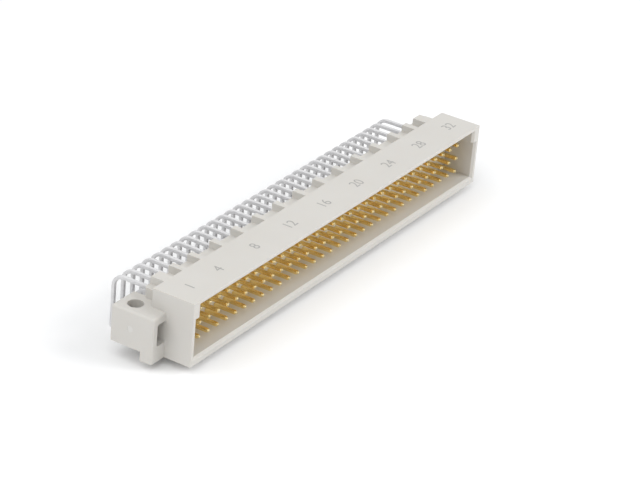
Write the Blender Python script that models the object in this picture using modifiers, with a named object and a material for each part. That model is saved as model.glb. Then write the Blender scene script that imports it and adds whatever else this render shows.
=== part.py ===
"""Right-angle board connector: a moulded shroud with three rows of 32 bent square contacts.

Frame: +X runs along the rows, -Y is the mating side, +Z stands up from the circuit board.
The origin is the middle of the line between the two fixing holes, on the board's surface.
One whole row of contacts is modelled as separate pieces. The other rows are one piece with
the housing that carries them. Lengths are in metres, so e-3 stands for millimetres.
"""

import math

import bmesh
import bpy

# Contact grid
PITCH = 2.54e-3
COLUMNS = 32
ROWS = 3
SEPARATE_ROW = ROWS - 1  # the top row, counted from 0 at the board
LOW_ROW_HEIGHT = 1.51e-3  # above the board's surface

# Contacts
CONTACT_SIZE = 0.60e-3  # across the square
BLADE_LENGTH = 4.30e-3  # tip to base wall
TIP_LENGTH = 0.45e-3
TIP_INSET = 0.13e-3
BEND_RADIUS = 1.90e-3  # to the middle of the contact
BEND_SEGMENTS = 4
FIRST_TAIL = 2.84e-3  # nearest tails behind the fixing holes' line
TAIL_BELOW_BOARD = 2.90e-3
TAIL_TIP_LENGTH = 0.35e-3
TAIL_TIP_INSET = 0.12e-3
CONTACT_GAP = 0.06e-3  # round a separate contact in its hole

# Shroud and its cavity
CAVITY_END_MARGIN = 3.28e-3  # end contact to end wall
CAVITY_TOP_MARGIN = 2.21e-3  # top row to ceiling
CAVITY_LOW_MARGIN = 1.81e-3  # low row to floor
CAVITY_AHEAD = 1.47e-3  # contact tips to front rim
END_WALL = 1.02e-3
TOP_WALL = 0.80e-3
BOTTOM_WALL = 1.30e-3
KEY_STEP = 0.92e-3  # extra thickness of the end walls near the top
KEY_HEIGHT = 2.05e-3  # how far that extra thickness reaches down
LEAD_IN = 0.40e-3  # depth of the slope at the cavity's mouth, and its width at the ends and floor
TOP_LEAD_IN = 0.28e-3  # its width at the ceiling
SHROUD_TO_HOLES = 2.48e-3  # shroud's rear face to the fixing holes' line
BASE_WALL_AHEAD = 2.12e-3  # base wall's front face ahead of the shroud's rear face
SHROUD_ROUND = 0.10e-3

# Rear block with its ribs
REAR_BLOCK_DEPTH = 2.73e-3
REAR_BLOCK_MARGIN = 2.63e-3  # end contact to the block's end
REAR_BLOCK_CROWN = 1.56e-3  # top row to the floor between ribs
RIB_HEIGHT = 1.30e-3
RIB_WIDTH = 1.25e-3
RIB_PITCH = 6.02e-3
LAST_RIB_INSET = 4.27e-3  # outermost thin ribs, in from the end contact
END_RIB_INSET = 1.17e-3
END_RIB_OUTSET = 1.13e-3
REAR_BLOCK_ROUND = 0.55e-3

# Mounting ears
HOLE_MARGIN = 5.08e-3  # end contact to fixing hole
HOLE_DIAMETER = 2.66e-3
EAR_OUTER_MARGIN = 2.55e-3  # fixing hole to the ear's outer face
EAR_AHEAD = 5.30e-3  # ear's front face ahead of the fixing hole
EAR_BEHIND = 2.80e-3
EAR_HEIGHT = 6.30e-3
EAR_ROUND = 0.42e-3
FOOT_LENGTH = 2.20e-3  # along Y, at the ear's front, down to the shroud's bottom
POCKET_ROOF = 1.35e-3
POCKET_FLOOR = 1.10e-3
POCKET_ROUND = 0.40e-3

# Construction only
OVERLAP = 0.60e-3  # how far joined shapes reach into each other
PAST = 2.00e-3  # how far cutters reach past a face

# Values worked out from the sizes above
ROW_HALF = (COLUMNS - 1) / 2 * PITCH
TOP_ROW_HEIGHT = LOW_ROW_HEIGHT + (ROWS - 1) * PITCH
CAVITY_HALF = ROW_HALF + CAVITY_END_MARGIN
CAVITY_TOP = TOP_ROW_HEIGHT + CAVITY_TOP_MARGIN
CAVITY_FLOOR = LOW_ROW_HEIGHT - CAVITY_LOW_MARGIN
SHROUD_HALF = CAVITY_HALF + END_WALL
SHROUD_TOP = CAVITY_TOP + TOP_WALL
SHROUD_BOTTOM = CAVITY_FLOOR - BOTTOM_WALL
SHROUD_REAR = -SHROUD_TO_HOLES
BASE_FRONT = SHROUD_REAR - BASE_WALL_AHEAD
TIP_FRONT = BASE_FRONT - BLADE_LENGTH
SHROUD_FRONT = TIP_FRONT - CAVITY_AHEAD
BLOCK_HALF = ROW_HALF + REAR_BLOCK_MARGIN
BLOCK_REAR = SHROUD_REAR + REAR_BLOCK_DEPTH
BLOCK_TOP = TOP_ROW_HEIGHT + REAR_BLOCK_CROWN
HOLE_X = ROW_HALF + HOLE_MARGIN
EAR_OUTER = HOLE_X + EAR_OUTER_MARGIN


def clear_scene():
    for obj in list(bpy.data.objects):
        bpy.data.objects.remove(obj)


def new_collection(name):
    collection = bpy.data.collections.new(name)
    bpy.context.scene.collection.children.link(collection)
    return collection


def new_material(name, colour, metallic, roughness):
    material = bpy.data.materials.new(name)
    material.use_nodes = True
    shader = material.node_tree.nodes["Principled BSDF"]
    shader.inputs["Base Color"].default_value = (*colour, 1.0)
    shader.inputs["Metallic"].default_value = metallic
    shader.inputs["Roughness"].default_value = roughness
    return material


def new_object(name, bm, collection, material=None):
    """Turns a bmesh into an object, with its faces pointing out."""
    bmesh.ops.recalc_face_normals(bm, faces=bm.faces)
    mesh = bpy.data.meshes.new(name)
    bm.to_mesh(mesh)
    bm.free()
    if material:
        mesh.materials.append(material)
    obj = bpy.data.objects.new(name, mesh)
    collection.objects.link(obj)
    return obj


def helper(name, bm):
    """An object that only serves a Boolean."""
    obj = new_object(name, bm, HELPERS)
    obj.hide_render = True
    obj.display_type = "WIRE"
    return obj


def add_box(bm, low, high):
    """Adds a box between two corners and returns its vertices."""
    verts = bmesh.ops.create_cube(bm, size=1.0)["verts"]
    for vert in verts:
        for axis in range(3):
            vert.co[axis] = (low[axis] + high[axis]) / 2 + vert.co[axis] * (high[axis] - low[axis])
    return verts


def add_boolean(obj, other, operation):
    modifier = obj.modifiers.new(f"{operation.lower()} {other.name}", "BOOLEAN")
    modifier.operation = operation
    modifier.solver = "EXACT"
    modifier.object = other


def add_bevel(obj, width, segments, limit="ANGLE"):
    modifier = obj.modifiers.new("rounding", "BEVEL")
    modifier.width = width
    modifier.segments = segments
    modifier.limit_method = limit


def add_mirror(obj):
    modifier = obj.modifiers.new("other end", "MIRROR")
    modifier.merge_threshold = 0.00001


def column_x(column):
    return column * PITCH - ROW_HALF


def row_height(row):
    return LOW_ROW_HEIGHT + row * PITCH


def face_towards(bm, axis, sign):
    """The face that lies furthest along an axis."""
    return max(bm.faces, key=lambda face: sign * face.calc_center_median()[axis])


def extrude_face(bm, face, offset):
    """Pulls a face out by an offset, with new sides behind it, and returns it."""
    pulled = bmesh.ops.extrude_discrete_faces(bm, faces=[face])["faces"][0]
    bmesh.ops.translate(bm, verts=pulled.verts, vec=offset)
    return pulled


def grow_face(face, amount, axes):
    """Moves each corner of a face away from its middle, or towards it, along some axes."""
    middle = face.calc_center_median()
    for vert in face.verts:
        for axis in axes:
            vert.co[axis] += amount * math.copysign(1, vert.co[axis] - middle[axis])


def add_contact(bm, row, x):
    """One bent contact: a blade with a blunt point, a quarter turn, and a tail through the board."""
    half = CONTACT_SIZE / 2
    height = row_height(row)
    tail_y = FIRST_TAIL + row * PITCH
    radius = min(BEND_RADIUS, height - half)
    part = bmesh.new()
    low = (x - half, TIP_FRONT + TIP_LENGTH, height - half)
    add_box(part, low, (x + half, tail_y - radius, height + half))

    point = extrude_face(part, face_towards(part, 1, -1), (0, -TIP_LENGTH, 0))
    grow_face(point, -TIP_INSET, (0, 2))

    start = face_towards(part, 1, 1)
    turned = bmesh.ops.spin(
        part,
        geom=[start],
        cent=(x, tail_y - radius, height - radius),
        axis=(1, 0, 0),
        angle=-math.pi / 2,
        steps=BEND_SEGMENTS,
    )["geom_last"]
    bmesh.ops.delete(part, geom=[start], context="FACES_ONLY")
    end = next(item for item in turned if isinstance(item, bmesh.types.BMFace))
    straight = height - radius + TAIL_BELOW_BOARD - TAIL_TIP_LENGTH
    end = extrude_face(part, end, (0, 0, -straight))
    end = extrude_face(part, end, (0, 0, -TAIL_TIP_LENGTH))
    grow_face(end, -TAIL_TIP_INSET, (0, 1))

    mesh = bpy.data.meshes.new("contact")
    part.to_mesh(mesh)
    part.free()
    bm.from_mesh(mesh)
    bpy.data.meshes.remove(mesh)


def shroud_block():
    bm = bmesh.new()
    low = (-SHROUD_HALF, SHROUD_FRONT, SHROUD_BOTTOM)
    add_box(bm, low, (SHROUD_HALF, SHROUD_REAR, SHROUD_TOP))
    return bm


def rib_spans():
    """Where the rear block keeps its full height, as (low x, high x) pairs from end to end."""
    last = ROW_HALF - LAST_RIB_INSET
    inner = int((last - RIB_PITCH / 2) / RIB_PITCH)
    centres = [index * RIB_PITCH for index in range(-inner, inner + 1)]
    centres = [-last] + centres + [last]
    thin = [(centre - RIB_WIDTH / 2, centre + RIB_WIDTH / 2) for centre in centres]
    end = (ROW_HALF - END_RIB_INSET, ROW_HALF + END_RIB_OUTSET)
    return [(-end[1], -end[0])] + thin + [end]


def rear_block():
    """The block that the tails leave, with open slots between the ribs along its top."""
    bm = bmesh.new()
    low = (-BLOCK_HALF, SHROUD_REAR - OVERLAP, -OVERLAP)
    add_box(bm, low, (BLOCK_HALF, BLOCK_REAR, BLOCK_TOP + RIB_HEIGHT))
    weight = bm.edges.layers.float.new("bevel_weight_edge")
    for edge in bm.edges:
        rear = all(vert.co.y > SHROUD_REAR for vert in edge.verts)
        upright = edge.verts[0].co.x == edge.verts[1].co.x and edge.verts[0].co.z != edge.verts[1].co.z
        edge[weight] = float(rear and upright)
    block = helper("rear block", bm)
    add_bevel(block, REAR_BLOCK_ROUND, 3, "WEIGHT")

    slots = bmesh.new()
    spans = rib_spans()
    starts = [-BLOCK_HALF - PAST] + [span[1] for span in spans]
    ends = [span[0] for span in spans] + [BLOCK_HALF + PAST]
    for start, end in zip(starts, ends):
        low = (start, SHROUD_REAR - OVERLAP - PAST, BLOCK_TOP)
        add_box(slots, low, (end, BLOCK_REAR + PAST, BLOCK_TOP + RIB_HEIGHT + PAST))
    add_boolean(block, helper("rib slots", slots), "DIFFERENCE")
    return block


def ears():
    """Both mounting ears, still reaching down through the board's space."""
    bm = bmesh.new()
    low = (BLOCK_HALF - OVERLAP, -EAR_AHEAD, SHROUD_BOTTOM)
    add_box(bm, low, (EAR_OUTER, EAR_BEHIND, EAR_HEIGHT))
    weight = bm.edges.layers.float.new("bevel_weight_edge")
    for edge in bm.edges:
        inner = all(vert.co.x < BLOCK_HALF for vert in edge.verts)
        bottom = all(vert.co.z < 0 for vert in edge.verts)
        edge[weight] = float(not inner and not bottom)
    both = helper("ears", bm)
    add_bevel(both, EAR_ROUND, 3, "WEIGHT")
    add_mirror(both)
    return both


def board_space():
    """The circuit board: it reaches forward under the ears until it stops against their feet."""
    bm = bmesh.new()
    low = (-EAR_OUTER - PAST, FOOT_LENGTH - EAR_AHEAD, SHROUD_BOTTOM - PAST)
    add_box(bm, low, (EAR_OUTER + PAST, EAR_BEHIND + PAST, 0))
    return helper("board", bm)


def flared_cutter(name, half_x, top, top_lead_in):
    """A box from the base wall to the shroud's mouth, where its sides slope out for the lead-in."""
    bm = bmesh.new()
    add_box(bm, (-half_x, SHROUD_FRONT + LEAD_IN, CAVITY_FLOOR), (half_x, BASE_FRONT, top))
    reach = LEAD_IN + PAST
    mouth = extrude_face(bm, face_towards(bm, 1, -1), (0, -reach, 0))
    middle = mouth.calc_center_median()
    for vert in mouth.verts:
        vert.co.z += top_lead_in * reach / LEAD_IN if vert.co.z > middle.z else -reach
        vert.co.x += math.copysign(reach, vert.co.x)
    return helper(name, bm)


def ear_pockets():
    """The hollow in the front of each ear, open towards the mating side."""
    bm = bmesh.new()
    low = (SHROUD_HALF, -EAR_AHEAD - PAST, POCKET_FLOOR)
    high = (HOLE_X + HOLE_DIAMETER / 2, HOLE_DIAMETER / 2, EAR_HEIGHT - POCKET_ROOF)
    add_box(bm, low, high)
    pockets = helper("ear pockets", bm)
    add_bevel(pockets, POCKET_ROUND, 2)
    add_mirror(pockets)
    return pockets


def fixing_holes():
    bm = bmesh.new()
    height = EAR_HEIGHT + 2 * PAST
    drill = bmesh.ops.create_cone(
        bm,
        cap_ends=True,
        segments=40,
        radius1=HOLE_DIAMETER / 2,
        radius2=HOLE_DIAMETER / 2,
        depth=height,
    )["verts"]
    bmesh.ops.translate(bm, verts=drill, vec=(HOLE_X, 0, EAR_HEIGHT / 2))
    holes = helper("fixing holes", bm)
    add_mirror(holes)
    return holes


def carried_contacts():
    """The rows that are one piece with the housing."""
    bm = bmesh.new()
    for row in range(ROWS):
        if row != SEPARATE_ROW:
            for column in range(COLUMNS):
                add_contact(bm, row, column_x(column))
    return helper("carried contacts", bm)


def contact_holes():
    """Square holes through the base wall for the separate row."""
    bm = bmesh.new()
    half = CONTACT_SIZE / 2 + CONTACT_GAP
    height = row_height(SEPARATE_ROW)
    for column in range(COLUMNS):
        x = column_x(column)
        low = (x - half, BASE_FRONT - PAST, height - half)
        add_box(bm, low, (x + half, BLOCK_REAR + PAST, height + half))
    return helper("contact holes", bm)


def make_housing(material):
    housing = new_object("housing", shroud_block(), PARTS, material)
    add_bevel(housing, SHROUD_ROUND, 2)
    add_boolean(housing, rear_block(), "UNION")
    add_boolean(housing, ears(), "UNION")
    add_boolean(housing, board_space(), "DIFFERENCE")
    cavity = flared_cutter("cavity", CAVITY_HALF, CAVITY_TOP - KEY_HEIGHT, 0)
    keyed_cavity = flared_cutter("keyed cavity", CAVITY_HALF - KEY_STEP, CAVITY_TOP, TOP_LEAD_IN)
    add_boolean(housing, cavity, "DIFFERENCE")
    add_boolean(housing, keyed_cavity, "DIFFERENCE")
    add_boolean(housing, ear_pockets(), "DIFFERENCE")
    add_boolean(housing, fixing_holes(), "DIFFERENCE")
    add_boolean(housing, contact_holes(), "DIFFERENCE")
    add_boolean(housing, carried_contacts(), "UNION")
    return housing


def make_contacts(material):
    bm = bmesh.new()
    add_contact(bm, SEPARATE_ROW, 0)
    first = new_object("contact_01", bm, PARTS, material)
    contacts = [first]
    for column in range(1, COLUMNS):
        contact = bpy.data.objects.new(f"contact_{column + 1:02d}", first.data)
        PARTS.objects.link(contact)
        contacts.append(contact)
    for column, contact in enumerate(contacts):
        contact.location.x = column_x(column)
    return contacts


clear_scene()
PARTS = new_collection("board connector")
HELPERS = new_collection("helpers")
plastic = new_material("housing plastic", (0.70, 0.68, 0.65), 0.0, 0.5)
plated = new_material("plated contact", (0.83, 0.62, 0.28), 1.0, 0.25)
frame = bpy.data.objects.new("board connector frame", None)
PARTS.objects.link(frame)
for piece in [make_housing(plastic), *make_contacts(plated)]:
    piece.parent = frame
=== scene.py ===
"""Looks for the right-angle board connector: fine meshes, materials, floor, light and camera.

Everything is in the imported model's frame: +X runs along the contact rows, -Y is the mating side
and +Z stands up from the circuit board. Lengths are in metres, so e-3 stands for millimetres.
"""

import math

import bmesh
import bpy
from mathutils import Matrix, Vector


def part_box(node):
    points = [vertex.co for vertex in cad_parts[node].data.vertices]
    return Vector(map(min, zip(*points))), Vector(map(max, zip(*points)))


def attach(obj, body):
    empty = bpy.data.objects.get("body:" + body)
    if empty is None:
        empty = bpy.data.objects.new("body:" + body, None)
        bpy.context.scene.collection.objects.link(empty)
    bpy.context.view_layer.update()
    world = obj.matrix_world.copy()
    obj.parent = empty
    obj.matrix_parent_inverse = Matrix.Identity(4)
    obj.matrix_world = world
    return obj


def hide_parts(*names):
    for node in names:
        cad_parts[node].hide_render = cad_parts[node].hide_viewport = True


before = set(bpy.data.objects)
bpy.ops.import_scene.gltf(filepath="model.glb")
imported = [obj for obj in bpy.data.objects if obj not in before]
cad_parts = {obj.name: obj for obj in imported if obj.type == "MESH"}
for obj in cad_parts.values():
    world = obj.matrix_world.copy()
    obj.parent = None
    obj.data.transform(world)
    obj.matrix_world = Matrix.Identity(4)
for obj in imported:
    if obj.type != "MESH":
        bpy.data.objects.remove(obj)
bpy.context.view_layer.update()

# Contact rows, counted from the board, and the contacts in each
ROWS = ["low", "middle", "top"]
COLUMNS = sum(node.startswith("contact_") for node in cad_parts)

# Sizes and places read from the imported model
FIRST_LOW, FIRST_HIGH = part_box("contact_01")
LAST_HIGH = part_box(f"contact_{COLUMNS}")[1]
HOUSING_LOW, HOUSING_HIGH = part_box("housing")
CONTACT_SIZE = FIRST_HIGH.x - FIRST_LOW.x
ROW_HALF = (LAST_HIGH.x - FIRST_LOW.x - CONTACT_SIZE) / 2
PITCH = 2 * ROW_HALF / (COLUMNS - 1)
TOP_ROW_HEIGHT = FIRST_HIGH.z - CONTACT_SIZE / 2
TOP_ROW_TAIL = FIRST_HIGH.y - CONTACT_SIZE / 2
TIP_FRONT = FIRST_LOW.y
TAIL_TIPS = FIRST_LOW.z
EAR_OUTER = HOUSING_HIGH.x
SHROUD_FRONT = HOUSING_LOW.y
SHROUD_TOP = HOUSING_HIGH.z

# Contacts. The shapes of their ends are distances from the end and relative sizes there.
BEND_RADIUS = 1.90e-3  # to the middle of the contact
BEND_STEPS = 10
TIP_SHAPE = [(0.0, 0.34), (0.05e-3, 0.54), (0.18e-3, 0.82), (0.45e-3, 1.0)]
TAIL_TIP_SHAPE = [(0.35e-3, 1.0), (0.06e-3, 0.68), (0.0, 0.58)]
SHADED_TIP_RINGS = 2  # how many steps of the tip's shape take the tips' darker gold, painted shade that dims their glint
CONTACT_EDGE = 0.07e-3  # rounding of the square's corners
CONTACT_EDGE_STEPS = 2
CONTACT_GAP = 0.06e-3  # round a contact in its hole
CONTACT_SHARP = math.radians(40)  # edges that turn more than this stay sharp

# Shroud and its cavity
CAVITY_END_MARGIN = 3.28e-3  # end contact to end wall
CAVITY_LOW_MARGIN = 1.81e-3  # low row to floor
END_WALL = 1.02e-3
TOP_WALL = 0.80e-3
BOTTOM_WALL = 1.30e-3
KEY_STEP = 0.92e-3  # extra thickness of the end walls near the top
KEY_HEIGHT = 2.05e-3  # how far that extra thickness reaches down
LEAD_IN = 0.40e-3  # depth of the slope at the cavity's mouth, and its width at the ends and floor
TOP_LEAD_IN = 0.28e-3  # its width at the ceiling
SHROUD_REAR = -2.48e-3
BASE_FRONT = -4.60e-3  # the wall that the blades stand out of
SHROUD_ROUND = 0.08e-3
SHROUD_ROUND_STEPS = 3
HOUSING_SHARP = math.radians(35)  # edges that turn more than this stay sharp

# Rear block with its ribs
BLOCK_MARGIN = 2.63e-3  # end contact to the block's end
BLOCK_CROWN = 1.56e-3  # top row to the floor between ribs
BLOCK_REAR = 0.25e-3
BLOCK_ROUND = 0.55e-3
BLOCK_ROUND_STEPS = 6
RIB_HEIGHT = 1.30e-3
RIB_WIDTH = 1.25e-3
RIB_PITCH = 6.02e-3
LAST_RIB_INSET = 4.27e-3  # outermost thin ribs, in from the end contact
END_RIB_INSET = 1.17e-3
END_RIB_OUTSET = 1.13e-3
RIB_ROUND = 0.12e-3
RIB_ROUND_STEPS = 3

# Mounting ears
HOLE_MARGIN = 5.08e-3  # end contact to fixing hole
HOLE_RADIUS = 1.33e-3
HOLE_SIDES = 64
EAR_FRONT = -5.30e-3
EAR_REAR = 2.80e-3
EAR_TOP = 6.30e-3
EAR_ROUND = 0.42e-3
EAR_ROUND_STEPS = 6
FOOT_LENGTH = 2.20e-3  # along Y, at the ear's front, down to the shroud's bottom
POCKET_LOW = 1.10e-3
POCKET_TOP = 4.95e-3
POCKET_ROUND = 0.40e-3
POCKET_ROUND_STEPS = 4
MARK_PLACE = (-0.97e-3, 3.20e-3)  # the round ejector mark on each ear's outer face, in y and z
MARK_RADIUS = 0.55e-3
MARK_DEPTH = 0.05e-3
MARK_SIDES = 32

# Values worked out from the sizes above
LOW_ROW_HEIGHT = TOP_ROW_HEIGHT - (len(ROWS) - 1) * PITCH
CAVITY_HALF = ROW_HALF + CAVITY_END_MARGIN
CAVITY_TOP = SHROUD_TOP - TOP_WALL
CAVITY_FLOOR = LOW_ROW_HEIGHT - CAVITY_LOW_MARGIN
SHROUD_HALF = CAVITY_HALF + END_WALL
SHROUD_BOTTOM = CAVITY_FLOOR - BOTTOM_WALL
BLOCK_HALF = ROW_HALF + BLOCK_MARGIN
BLOCK_TOP = TOP_ROW_HEIGHT + BLOCK_CROWN
RIB_TOP = BLOCK_TOP + RIB_HEIGHT
LAST_RIB = ROW_HALF - LAST_RIB_INSET
END_RIB = (ROW_HALF - END_RIB_INSET, ROW_HALF + END_RIB_OUTSET)
HOLE_X = ROW_HALF + HOLE_MARGIN
FOOT_REAR = EAR_FRONT + FOOT_LENGTH

# Plain numbers on the top: the contact positions
NUMBER_STEP = 4
NUMBERED = [1, *range(NUMBER_STEP, COLUMNS + 1, NUMBER_STEP)]
NUMBER_HEIGHT = 1.90e-3
DIGIT_SHARE = 0.7  # a digit's height as a share of the font's size
NUMBER_BASE = -7.30e-3  # the line that the digits stand on, in y
NUMBER_LIFT = 0.008e-3  # how far the ink stands off the plastic

# Construction only
OVERLAP = 0.60e-3  # how far joined shapes reach into each other
PAST = 2.00e-3  # how far cutters reach past a face
NEAR = 0.02e-3  # how close to a surface counts as on it
MIRROR_MERGE = 0.01e-3  # how near two points are joined at the mirror

# Material slots: three on the housing and three on each contact
OUTSIDE, CAVITY, MARK = range(3)
BLADE, TAIL, TIP = range(3)

# Finishes: a light and a dark tone that a noise mixes, roughness, and share of metal
PLASTIC_TONES = ((0.620, 0.600, 0.564), (0.597, 0.575, 0.537))
PLASTIC_ROUGHNESS = 0.50
SMOOTH_TONES = ((0.66, 0.645, 0.615), (0.64, 0.625, 0.595))
SMOOTH_ROUGHNESS = 0.36
GOLD_TONES = ((1.00, 0.79, 0.37), (0.90, 0.68, 0.27))
GOLD_ROUGHNESS = 0.16
GOLD_METAL = 0.95
# The tips' gold: darker than the blade's as painted shade that dims their glint, and rougher
SHADED_GOLD_TONES = ((0.56, 0.46, 0.25), (0.50, 0.40, 0.21))
DULL_GOLD_ROUGHNESS = 0.34
DULL_GOLD_METAL = 0.92
TIN_TONES = ((0.72, 0.715, 0.72), (0.66, 0.655, 0.66))
TIN_ROUGHNESS = 0.45
TIN_METAL = 0.25
INK_TONES = ((0.33, 0.32, 0.31), (0.42, 0.41, 0.39))
INK_ROUGHNESS = 0.6

# Noises: scale per metre, detail and, where it is drawn out, the scale along each axis
NOISE_RANGE = (0.3, 0.7)  # where most of a noise's values lie
PLASTIC_TONE_NOISE = (90, 3)
PLASTIC_GRAIN_NOISE = (7000, 4)
PLASTIC_FLOW_NOISE = (400, 2, (0.3, 1.0, 1.0))
METAL_TONE_NOISE = (900, 2)
METAL_MARK_NOISE = (6000, 2, (1.0, 0.06, 1.0))
INK_WEAR_NOISE = (2500, 3)

# How far a noise moves the roughness down and up
PLASTIC_SPREAD = (-0.06, 0.06)
METAL_SPREAD = (-0.06, 0.08)

# Bumps: depth and strength
PLASTIC_FLOW_BUMP = (0.020e-3, 0.25)
PLASTIC_GRAIN_BUMP = (0.010e-3, 0.35)
METAL_MARK_BUMP = (0.006e-3, 0.15)

# Light that enters the plastic
SUBSURFACE_WEIGHT = 0.12
SUBSURFACE_RADIUS = (1.0, 0.8, 0.6)
SUBSURFACE_SCALE = 0.60e-3

# Painted shade and painted warm reflection of the gold contacts on the cavity's walls: a darker,
# yellower tint that grows from the mouth to the base wall
SHADE_START = -9.2e-3
SHADE_END = -5.2e-3
CAVITY_PAINTED_SHADE = (0.97, 0.91, 0.80)

# Floor, and where it turns plain white, from the middle of the object
FLOOR_HALF = 3.0
FLOOR_COLOUR = (0.97, 0.97, 0.97)
FLOOR_ROUGHNESS = 0.9
FADE_START = 0.10
FADE_END = 0.24

# Light: the world's colour and strength, then each lamp's place, width and power in watts
WORLD_COLOUR = (0.97, 0.985, 1.0)
WORLD_STRENGTH = 0.54
LAMPS = {
    "key": ((-0.38, 0.07, 0.60), 0.8, 3.1),
    "front": ((0.27, -0.50, 0.41), 0.38, 2.15),
}

# Camera, fitted to the photograph
CAMERA_AZIMUTH = math.radians(-59.410)
CAMERA_ELEVATION = math.radians(27.257)
CAMERA_ROLL = math.radians(5.315)
CAMERA_DISTANCE = 0.440445
CAMERA_TARGET = Vector((-1.8509e-3, -6.6504e-3, 3.0807e-3))
CAMERA_LENS = 149.2645  # in millimetres, as the sensor is
CAMERA_SENSOR = 36.0
CAMERA_CLIP = (0.01, 20.0)


def add_object(name, data):
    """A new object in the scene."""
    obj = bpy.data.objects.new(name, data)
    bpy.context.scene.collection.objects.link(obj)
    return obj


def finished_mesh(name, bm):
    """Turns a bmesh into a mesh."""
    mesh = bpy.data.meshes.new(name)
    bm.to_mesh(mesh)
    bm.free()
    return mesh


def evaluated_mesh(obj, name):
    """The mesh of an object with its modifiers applied."""
    graph = bpy.context.evaluated_depsgraph_get()
    graph.update()
    mesh = bpy.data.meshes.new_from_object(obj.evaluated_get(graph))
    mesh.name = name
    return mesh


def add_box(bm, low, high):
    """Adds a box between two corners."""
    size = [b - a for a, b in zip(low, high)]
    middle = [(a + b) / 2 for a, b in zip(low, high)]
    matrix = Matrix.Translation(middle) @ Matrix.Diagonal((*size, 1.0))
    bmesh.ops.create_cube(bm, size=1.0, matrix=matrix)


def add_drum(bm, radius, length, matrix, sides):
    """Adds a closed cylinder along the matrix's Z axis."""
    bmesh.ops.create_cone(
        bm,
        cap_ends=True,
        segments=sides,
        radius1=radius,
        radius2=radius,
        depth=length,
        matrix=matrix,
    )


def helper(name, bm):
    """A mesh object that only serves a Boolean."""
    bmesh.ops.recalc_face_normals(bm, faces=bm.faces)
    obj = add_object(name, finished_mesh(name, bm))
    obj.hide_render = True
    return obj


def box_helper(name, low, high):
    """A helper that is a box between two corners."""
    bm = bmesh.new()
    add_box(bm, low, high)
    return helper(name, bm)


def add_bevel(obj, width, segments, limit="ANGLE"):
    modifier = obj.modifiers.new("rounding", "BEVEL")
    modifier.width = width
    modifier.segments = segments
    modifier.limit_method = limit


def weigh_edges(obj, chosen):
    """Marks the edges that a Bevel limited by weight will round."""
    attribute = obj.data.attributes.new("bevel_weight_edge", "FLOAT", "EDGE")
    verts = obj.data.vertices
    for edge in obj.data.edges:
        ends = [verts[index].co for index in edge.vertices]
        attribute.data[edge.index].value = float(chosen(*ends))


def add_mirror(obj):
    """Repeats a shape at the other end of the housing."""
    modifier = obj.modifiers.new("other end", "MIRROR")
    modifier.merge_threshold = MIRROR_MERGE


def add_boolean(obj, other, operation):
    modifier = obj.modifiers.new(other.name, "BOOLEAN")
    modifier.operation = operation
    modifier.solver = "MANIFOLD"
    modifier.object = other


def column_x(column):
    """Where a contact stands along its row, counted from 0."""
    return column * PITCH - ROW_HALF


def row_height(row):
    """How high a row stands above the board, counted from 0."""
    return LOW_ROW_HEIGHT + row * PITCH


def rear_block():
    """The block behind the shroud, with rounded upright corners at its rear."""
    low = (-BLOCK_HALF, SHROUD_REAR - OVERLAP, -OVERLAP)
    block = box_helper("rear block", low, (BLOCK_HALF, BLOCK_REAR, BLOCK_TOP))
    weigh_edges(block, lambda a, b: min(a.y, b.y) > SHROUD_REAR and a.x == b.x and a.z != b.z)
    add_bevel(block, BLOCK_ROUND, BLOCK_ROUND_STEPS, "WEIGHT")
    return block


def rib_spans():
    """Where each rib starts and ends along X: a wide one at each end and thin ones between."""
    inner = int((LAST_RIB - RIB_PITCH / 2) / RIB_PITCH)
    centres = [-LAST_RIB, *[index * RIB_PITCH for index in range(-inner, inner + 1)], LAST_RIB]
    thin = [(centre - RIB_WIDTH / 2, centre + RIB_WIDTH / 2) for centre in centres]
    return [(-END_RIB[1], -END_RIB[0]), *thin, END_RIB]


def ribs():
    """The ribs on top of the rear block, with their upper edges rounded."""
    bm = bmesh.new()
    for start, end in rib_spans():
        low = (start, SHROUD_REAR - OVERLAP, BLOCK_TOP - OVERLAP)
        add_box(bm, low, (end, BLOCK_REAR, RIB_TOP))
    comb = helper("ribs", bm)
    weigh_edges(comb, lambda a, b: min(a.z, b.z) > BLOCK_TOP and max(a.y, b.y) > SHROUD_REAR)
    add_bevel(comb, RIB_ROUND, RIB_ROUND_STEPS, "WEIGHT")
    return comb


def ears():
    """Both mounting ears, before their holes and pockets are cut."""
    low = (BLOCK_HALF - OVERLAP, EAR_FRONT, SHROUD_BOTTOM)
    both = box_helper("ears", low, (EAR_OUTER, EAR_REAR, EAR_TOP))
    weigh_edges(both, lambda a, b: max(a.x, b.x) > BLOCK_HALF and max(a.z, b.z) > 0)
    add_bevel(both, EAR_ROUND, EAR_ROUND_STEPS, "WEIGHT")
    add_mirror(both)
    return both


def board_cutter():
    """The circuit board's space, behind the feet of the ears."""
    low = (-EAR_OUTER - PAST, FOOT_REAR, SHROUD_BOTTOM - PAST)
    return box_helper("board", low, (EAR_OUTER + PAST, EAR_REAR + PAST, 0))


def flared_cutter(name, half_x, top, top_lead_in):
    """A box from the base wall to the shroud's mouth, where its sides slope out."""
    bm = bmesh.new()
    add_box(bm, (-half_x, SHROUD_FRONT + LEAD_IN, CAVITY_FLOOR), (half_x, BASE_FRONT, top))
    front = min(bm.faces, key=lambda face: face.calc_center_median().y)
    mouth = bmesh.ops.extrude_discrete_faces(bm, faces=[front])["faces"][0]
    middle = mouth.calc_center_median()
    reach = LEAD_IN + PAST
    rise = top_lead_in * reach / LEAD_IN
    for vert in mouth.verts:
        vert.co.z += rise if vert.co.z > middle.z else -reach
        vert.co.x += math.copysign(reach, vert.co.x)
        vert.co.y -= reach
    return helper(name, bm)


def pockets():
    """The hollows in the front of the ears, as far back as the rear of the holes."""
    low = (SHROUD_HALF, EAR_FRONT - PAST, POCKET_LOW)
    both = box_helper("pockets", low, (HOLE_X + HOLE_RADIUS, HOLE_RADIUS, POCKET_TOP))
    add_bevel(both, POCKET_ROUND, POCKET_ROUND_STEPS)
    add_mirror(both)
    return both


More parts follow.
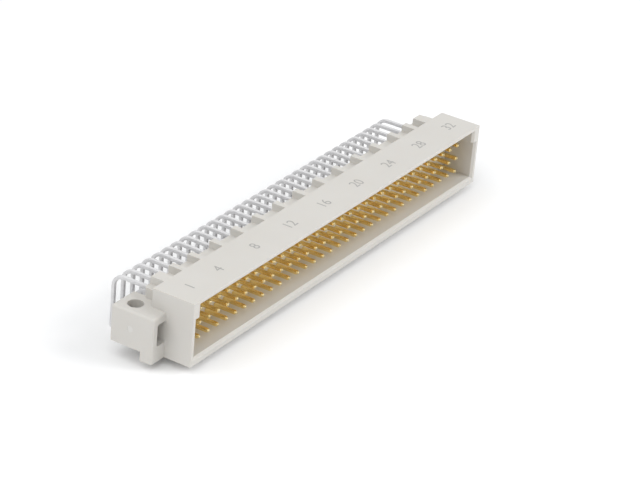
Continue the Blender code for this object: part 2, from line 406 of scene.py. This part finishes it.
def fixing_holes():
    """An upright bore through each ear."""
    bm = bmesh.new()
    for side in (-1, 1):
        place = Matrix.Translation((side * HOLE_X, 0, EAR_TOP / 2))
        add_drum(bm, HOLE_RADIUS, EAR_TOP + 2 * PAST, place, HOLE_SIDES)
    return helper("fixing holes", bm)


def ejector_marks():
    """A shallow round mark in the outer face of each ear."""
    bm = bmesh.new()
    turn = Matrix.Rotation(math.pi / 2, 4, "Y")
    for side in (-1, 1):
        place = Matrix.Translation((side * EAR_OUTER, *MARK_PLACE))
        add_drum(bm, MARK_RADIUS, 2 * MARK_DEPTH, place @ turn, MARK_SIDES)
    return helper("ejector marks", bm)


def contact_holes():
    """A square hole for every contact, a little wider than the contact."""
    bm = bmesh.new()
    half = CONTACT_SIZE / 2 + CONTACT_GAP
    for row in range(len(ROWS)):
        z = row_height(row)
        for column in range(COLUMNS):
            x = column_x(column)
            low = (x - half, BASE_FRONT - PAST, z - half)
            add_box(bm, low, (x + half, BLOCK_REAR + PAST, z + half))
    return helper("contact holes", bm)


def housing_mesh():
    """The whole moulding as one mesh: boxes joined, then cut."""
    low = (-SHROUD_HALF, SHROUD_FRONT, SHROUD_BOTTOM)
    shroud = box_helper("shroud", low, (SHROUD_HALF, SHROUD_REAR, SHROUD_TOP))
    add_bevel(shroud, SHROUD_ROUND, SHROUD_ROUND_STEPS)
    joined = [rear_block(), ribs(), ears()]
    for piece in joined:
        add_boolean(shroud, piece, "UNION")
    cutters = [
        board_cutter(),
        flared_cutter("cavity", CAVITY_HALF, CAVITY_TOP - KEY_HEIGHT, 0),
        flared_cutter("keyed cavity", CAVITY_HALF - KEY_STEP, CAVITY_TOP, TOP_LEAD_IN),
        pockets(),
        fixing_holes(),
        ejector_marks(),
        contact_holes(),
    ]
    for cutter in cutters:
        add_boolean(shroud, cutter, "DIFFERENCE")
    mesh = evaluated_mesh(shroud, "housing_shell")
    for obj in (shroud, *joined, *cutters):
        bpy.data.objects.remove(obj)
    return mesh


def surface_kind(place):
    """The material slot for a place on the housing."""
    x, y, z = abs(place.x), place.y, place.z
    deep = SHROUD_FRONT + NEAR < y < BASE_FRONT + NEAR
    if deep and x < SHROUD_HALF - NEAR and SHROUD_BOTTOM + NEAR < z < SHROUD_TOP - NEAR:
        return CAVITY
    from_mark = math.hypot(y - MARK_PLACE[0], z - MARK_PLACE[1])
    sunk = EAR_OUTER - MARK_DEPTH - NEAR < x < EAR_OUTER - MARK_DEPTH / 2
    if sunk and from_mark < MARK_RADIUS:
        return MARK
    return OUTSIDE


def make_housing(outside, painted_shade_cavity, smooth):
    """The moulding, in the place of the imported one."""
    mesh = housing_mesh()
    mesh.shade_smooth()
    mesh.set_sharp_from_angle(angle=HOUSING_SHARP)
    mesh.materials.clear()
    for material in (outside, painted_shade_cavity, smooth):
        mesh.materials.append(material)
    for polygon in mesh.polygons:
        polygon.material_index = surface_kind(polygon.center)
    shell = add_object("housing_shell", mesh)
    weighted = shell.modifiers.new("even shading", "WEIGHTED_NORMAL")
    weighted.keep_sharp = True
    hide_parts("housing")
    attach(shell, "root")


def contact_section():
    """A square with rounded corners, as (across, outward) points."""
    inner = CONTACT_SIZE / 2 - CONTACT_EDGE
    points = []
    for corner, (side_x, side_n) in enumerate([(1, 1), (-1, 1), (-1, -1), (1, -1)]):
        for step in range(CONTACT_EDGE_STEPS + 1):
            angle = (corner + step / CONTACT_EDGE_STEPS) * math.pi / 2
            across = side_x * inner + CONTACT_EDGE * math.cos(angle)
            outward = side_n * inner + CONTACT_EDGE * math.sin(angle)
            points.append((across, outward))
    return points


def contact_stations(row):
    """Where the section stands along a contact, as (y, z, turn, relative size)."""
    z = row_height(row)
    tail_y = TOP_ROW_TAIL - (len(ROWS) - 1 - row) * PITCH
    radius = min(BEND_RADIUS, z - CONTACT_SIZE / 2)
    stations = [(TIP_FRONT + along, z, 0.0, size) for along, size in TIP_SHAPE]
    stations += [(BASE_FRONT, z, 0.0, 1.0), (BLOCK_REAR, z, 0.0, 1.0)]
    for step in range(BEND_STEPS + 1):
        turn = step / BEND_STEPS * math.pi / 2
        y = tail_y - radius + radius * math.sin(turn)
        stations.append((y, z - radius + radius * math.cos(turn), turn, 1.0))
    stations += [(tail_y, TAIL_TIPS + along, math.pi / 2, size) for along, size in TAIL_TIP_SHAPE]
    return stations


def contact_mesh(row, blade, tail, tip):
    """Sweeps the section along a contact whose blade, tail and tip have their own finish."""
    bm = bmesh.new()
    section = contact_section()
    rings = []
    for y, z, turn, size in contact_stations(row):
        out_y = math.sin(turn) * size
        out_z = math.cos(turn) * size
        rings.append([bm.verts.new((a * size, y + n * out_y, z + n * out_z)) for a, n in section])
    for number, (ring, after) in enumerate(zip(rings, rings[1:])):
        finish = BLADE if ring[0].co.y < BASE_FRONT - CONTACT_GAP else TAIL
        # the tip's first rings get the darker gold, painted shade that dims its glint
        if number < SHADED_TIP_RINGS:
            finish = TIP
        for index in range(len(ring)):
            back = index - 1
            face = bm.faces.new((ring[back], ring[index], after[index], after[back]))
            face.material_index = finish
    bm.faces.new(rings[0]).material_index = TIP
    bm.faces.new(rings[-1]).material_index = TAIL
    bmesh.ops.recalc_face_normals(bm, faces=bm.faces)
    mesh = finished_mesh(f"contact_{ROWS[row]}", bm)
    mesh.shade_smooth()
    mesh.set_sharp_from_angle(angle=CONTACT_SHARP)
    for material in (blade, tail, tip):
        mesh.materials.append(material)
    return mesh


def make_contacts(blade, tail, tip):
    """All the contacts. Those of one row share a mesh."""
    for row, name in enumerate(ROWS):
        mesh = contact_mesh(row, blade, tail, tip)
        for column in range(COLUMNS):
            contact = add_object(f"contact_{name}_{column + 1:02d}", mesh)
            contact.location.x = column_x(column)
            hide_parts(f"contact_{column + 1:02d}" if name == "top" else "housing")
            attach(contact, "root")


def new_material(name, colour, metallic, roughness):
    """A Principled material and its nodes, with a uniform finish to start from."""
    material = bpy.data.materials.new(name)
    material.use_nodes = True
    nodes = material.node_tree.nodes
    shader = nodes["Principled BSDF"]
    shader.inputs["Base Color"].default_value = (*colour, 1.0)
    shader.inputs["Metallic"].default_value = metallic
    shader.inputs["Roughness"].default_value = roughness
    return material, nodes, material.node_tree.links, shader


def add_noise(nodes, links, vector, scale, detail, stretch=(1.0, 1.0, 1.0)):
    """A noise texture on object coordinates, stretched along the axes."""
    mapping = nodes.new("ShaderNodeMapping")
    mapping.inputs["Scale"].default_value = stretch
    links.new(vector, mapping.inputs["Vector"])
    noise = nodes.new("ShaderNodeTexNoise")
    noise.inputs["Scale"].default_value = scale
    noise.inputs["Detail"].default_value = detail
    links.new(mapping.outputs["Vector"], noise.inputs["Vector"])
    return noise.outputs["Fac"]


def add_range(nodes, links, value, before, after=(0.0, 1.0), shape="LINEAR"):
    """Maps a value from the range before to the range after, and no further."""
    remap = nodes.new("ShaderNodeMapRange")
    remap.interpolation_type = shape
    for label, limit in zip(("From Min", "From Max", "To Min", "To Max"), (*before, *after)):
        remap.inputs[label].default_value = limit
    links.new(value, remap.inputs["Value"])
    return remap.outputs["Result"]


def add_math(nodes, links, operation, first, second):
    """A Math node on two values."""
    node = nodes.new("ShaderNodeMath")
    node.operation = operation
    links.new(first, node.inputs[0])
    links.new(second, node.inputs[1])
    return node.outputs["Value"]


def add_bump(nodes, links, height, distance, strength, before=None):
    """A bump from a height, on top of the one before it."""
    bump = nodes.new("ShaderNodeBump")
    bump.inputs["Distance"].default_value = distance
    bump.inputs["Strength"].default_value = strength
    links.new(height, bump.inputs["Height"])
    if before:
        links.new(before, bump.inputs["Normal"])
    return bump.outputs["Normal"]


def add_tones(nodes, links, place, noise, tones):
    """A colour between two tones, mixed by a noise."""
    factor = add_range(nodes, links, add_noise(nodes, links, place, *noise), NOISE_RANGE)
    light, dark = tones
    mix = nodes.new("ShaderNodeMix")
    mix.data_type = "RGBA"
    mix.inputs["A"].default_value = (*light, 1.0)
    mix.inputs["B"].default_value = (*dark, 1.0)
    links.new(factor, mix.inputs["Factor"])
    return mix.outputs["Result"]


def add_depth_tint(nodes, links, place, colour, tint):
    """Multiplies a colour by a tint that grows with the depth of the cavity: painted shade and
    painted warm reflection of the gold contacts.
    """
    parts = nodes.new("ShaderNodeSeparateXYZ")
    links.new(place, parts.inputs["Vector"])
    depth = add_range(nodes, links, parts.outputs["Y"], (SHADE_START, SHADE_END))
    mix = nodes.new("ShaderNodeMix")
    mix.data_type = "RGBA"
    mix.blend_type = "MULTIPLY"
    mix.inputs["B"].default_value = (*tint, 1.0)
    links.new(colour, mix.inputs["A"])
    links.new(depth, mix.inputs["Factor"])
    return mix.outputs["Result"]


def add_roughness(nodes, links, shader, noise, middle, spread):
    """Lets a noise move the roughness within its spread."""
    limits = [middle + step for step in spread]
    roughness = add_range(nodes, links, noise, NOISE_RANGE, limits)
    links.new(roughness, shader.inputs["Roughness"])


def moulded_plastic(name, tones, roughness, shade=None):
    """Pale warm grey moulding with an eroded fine grain and slow changes of tone.

    A shade is a tint that grows with the depth of the cavity: painted shade and painted warm
    reflection of the gold contacts.
    """
    material, nodes, links, shader = new_material(name, tones[0], 0.0, roughness)
    place = nodes.new("ShaderNodeTexCoord").outputs["Object"]
    colour = add_tones(nodes, links, place, PLASTIC_TONE_NOISE, tones)
    if shade:
        colour = add_depth_tint(nodes, links, place, colour, shade)
    links.new(colour, shader.inputs["Base Color"])
    grain = add_noise(nodes, links, place, *PLASTIC_GRAIN_NOISE)
    add_roughness(nodes, links, shader, grain, roughness, PLASTIC_SPREAD)
    flow = add_noise(nodes, links, place, *PLASTIC_FLOW_NOISE)
    waves = add_bump(nodes, links, flow, *PLASTIC_FLOW_BUMP)
    normal = add_bump(nodes, links, grain, *PLASTIC_GRAIN_BUMP, waves)
    links.new(normal, shader.inputs["Normal"])
    shader.inputs["Subsurface Weight"].default_value = SUBSURFACE_WEIGHT
    shader.inputs["Subsurface Radius"].default_value = SUBSURFACE_RADIUS
    shader.inputs["Subsurface Scale"].default_value = SUBSURFACE_SCALE
    return material


def plating(name, tones, roughness, metallic):
    """Plated metal with faint drawing marks along its length, different on each contact."""
    material, nodes, links, shader = new_material(name, tones[0], metallic, roughness)
    place = nodes.new("ShaderNodeTexCoord").outputs["Object"]
    shift = nodes.new("ShaderNodeVectorMath")
    shift.operation = "ADD"
    links.new(place, shift.inputs[0])
    links.new(nodes.new("ShaderNodeObjectInfo").outputs["Random"], shift.inputs[1])
    place = shift.outputs["Vector"]
    colour = add_tones(nodes, links, place, METAL_TONE_NOISE, tones)
    links.new(colour, shader.inputs["Base Color"])
    marks = add_noise(nodes, links, place, *METAL_MARK_NOISE)
    add_roughness(nodes, links, shader, marks, roughness, METAL_SPREAD)
    links.new(add_bump(nodes, links, marks, *METAL_MARK_BUMP), shader.inputs["Normal"])
    return material


def printing_ink():
    """Mid-grey ink, thinner in places."""
    material, nodes, links, shader = new_material("printing_ink", INK_TONES[0], 0.0, INK_ROUGHNESS)
    place = nodes.new("ShaderNodeTexCoord").outputs["Object"]
    colour = add_tones(nodes, links, place, INK_WEAR_NOISE, INK_TONES)
    links.new(colour, shader.inputs["Base Color"])
    return material


def make_numbers():
    """Flat printed numbers that count the contact positions along the top."""
    ink = printing_ink()
    for number in NUMBERED:
        name = f"number_{number:02d}"
        text = bpy.data.curves.new(name, "FONT")
        text.body = str(number)
        text.size = NUMBER_HEIGHT / DIGIT_SHARE
        text.align_x = "CENTER"
        obj = add_object(name, text)
        mesh = evaluated_mesh(obj, name)
        bpy.data.objects.remove(obj)
        mesh.materials.clear()
        mesh.materials.append(ink)
        label = add_object(name, mesh)
        label.location = (column_x(number - 1), NUMBER_BASE, SHROUD_TOP + NUMBER_LIFT)
        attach(label, "root")


def seen_rays(nodes, links):
    """1 for what the camera sees, also in a gloss or through glass, and 0 for light."""
    path = nodes.new("ShaderNodeLightPath").outputs
    seen = path["Is Camera Ray"]
    for kind in ("Is Glossy Ray", "Is Transmission Ray"):
        seen = add_math(nodes, links, "MAXIMUM", seen, path[kind])
    return seen


def mix_surface(nodes, links, factor, first, second, output):
    """Mixes two shaders into a material's or world's surface."""
    mix = nodes.new("ShaderNodeMixShader")
    links.new(factor, mix.inputs["Fac"])
    links.new(first, mix.inputs[1])
    links.new(second, mix.inputs[2])
    links.new(mix.outputs["Shader"], output.inputs["Surface"])


def pale_floor():
    """Matt near-white paper that the camera sees turn plain white away from the object."""
    material, nodes, links, shader = new_material("pale_floor", FLOOR_COLOUR, 0.0, FLOOR_ROUGHNESS)
    shader.inputs["Specular IOR Level"].default_value = 0.0
    away = nodes.new("ShaderNodeVectorMath")
    away.operation = "LENGTH"
    links.new(nodes.new("ShaderNodeTexCoord").outputs["Object"], away.inputs[0])
    fade = add_range(nodes, links, away.outputs["Value"], (FADE_START, FADE_END), shape="SMOOTHSTEP")
    far = add_math(nodes, links, "MULTIPLY", fade, seen_rays(nodes, links))
    white = nodes.new("ShaderNodeEmission").outputs["Emission"]
    mix_surface(nodes, links, far, shader.outputs["BSDF"], white, nodes["Material Output"])
    return material


def make_floor():
    """A level pale floor that the tips of the tails stand on."""
    bm = bmesh.new()
    bmesh.ops.create_grid(bm, x_segments=1, y_segments=1, size=FLOOR_HALF)
    mesh = finished_mesh("floor", bm)
    mesh.materials.append(pale_floor())
    floor = add_object("floor", mesh)
    floor.location.z = TAIL_TIPS


def make_world():
    """Even studio light. What the camera and mirrors see of it is plain white."""
    world = bpy.data.worlds.new("studio")
    bpy.context.scene.world = world
    world.use_nodes = True
    nodes = world.node_tree.nodes
    links = world.node_tree.links
    light = nodes["Background"]
    light.inputs["Color"].default_value = (*WORLD_COLOUR, 1.0)
    light.inputs["Strength"].default_value = WORLD_STRENGTH
    white = nodes.new("ShaderNodeBackground")
    white.inputs["Color"].default_value = (1.0, 1.0, 1.0, 1.0)
    white.inputs["Strength"].default_value = 1.0
    mix_surface(
        nodes,
        links,
        seen_rays(nodes, links),
        light.outputs["Background"],
        white.outputs["Background"],
        nodes["World Output"],
    )


def add_area_light(name, place, width, power):
    """A soft square lamp that points at the object."""
    light = bpy.data.lights.new(name, "AREA")
    light.size = width
    light.energy = power
    obj = add_object(name, light)
    obj.location = place
    obj.rotation_euler = (-Vector(place)).to_track_quat("-Z", "Y").to_euler()


def make_camera():
    """Stands where the photograph was taken from, with its small roll."""
    back = Vector((
        math.sin(CAMERA_AZIMUTH) * math.cos(CAMERA_ELEVATION),
        -math.cos(CAMERA_AZIMUTH) * math.cos(CAMERA_ELEVATION),
        math.sin(CAMERA_ELEVATION),
    ))
    level_right = Vector((math.cos(CAMERA_AZIMUTH), math.sin(CAMERA_AZIMUTH), 0))
    right = Matrix.Rotation(CAMERA_ROLL, 3, back) @ level_right
    up = back.cross(right)
    data = bpy.data.cameras.new("camera")
    data.sensor_width = CAMERA_SENSOR
    data.lens = CAMERA_LENS
    data.clip_start, data.clip_end = CAMERA_CLIP
    camera = add_object("camera", data)
    turn = Matrix((right, up, back)).transposed().to_4x4()
    camera.matrix_world = Matrix.Translation(CAMERA_TARGET + CAMERA_DISTANCE * back) @ turn
    bpy.context.scene.camera = camera


bpy.context.scene.view_settings.view_transform = "Standard"
make_camera()
outside = moulded_plastic("moulded_plastic", PLASTIC_TONES, PLASTIC_ROUGHNESS)
# the cavity's walls get painted shade and painted warm reflection of the gold, growing with depth
painted_shade_cavity = moulded_plastic("painted_shade_cavity_plastic", PLASTIC_TONES, PLASTIC_ROUGHNESS, CAVITY_PAINTED_SHADE)
smooth = moulded_plastic("smooth_plastic", SMOOTH_TONES, SMOOTH_ROUGHNESS)
make_housing(outside, painted_shade_cavity, smooth)
gold = plating("gold_plating", GOLD_TONES, GOLD_ROUGHNESS, GOLD_METAL)
# the tips' gold is darkened as painted shade that dims their glint
shaded_gold = plating("shaded_gold_tips", SHADED_GOLD_TONES, DULL_GOLD_ROUGHNESS, DULL_GOLD_METAL)
tin = plating("tin_plating", TIN_TONES, TIN_ROUGHNESS, TIN_METAL)
make_contacts(gold, tin, shaded_gold)
make_numbers()
make_floor()
make_world()
for lamp_name, lamp in LAMPS.items():
    add_area_light(lamp_name, *lamp)
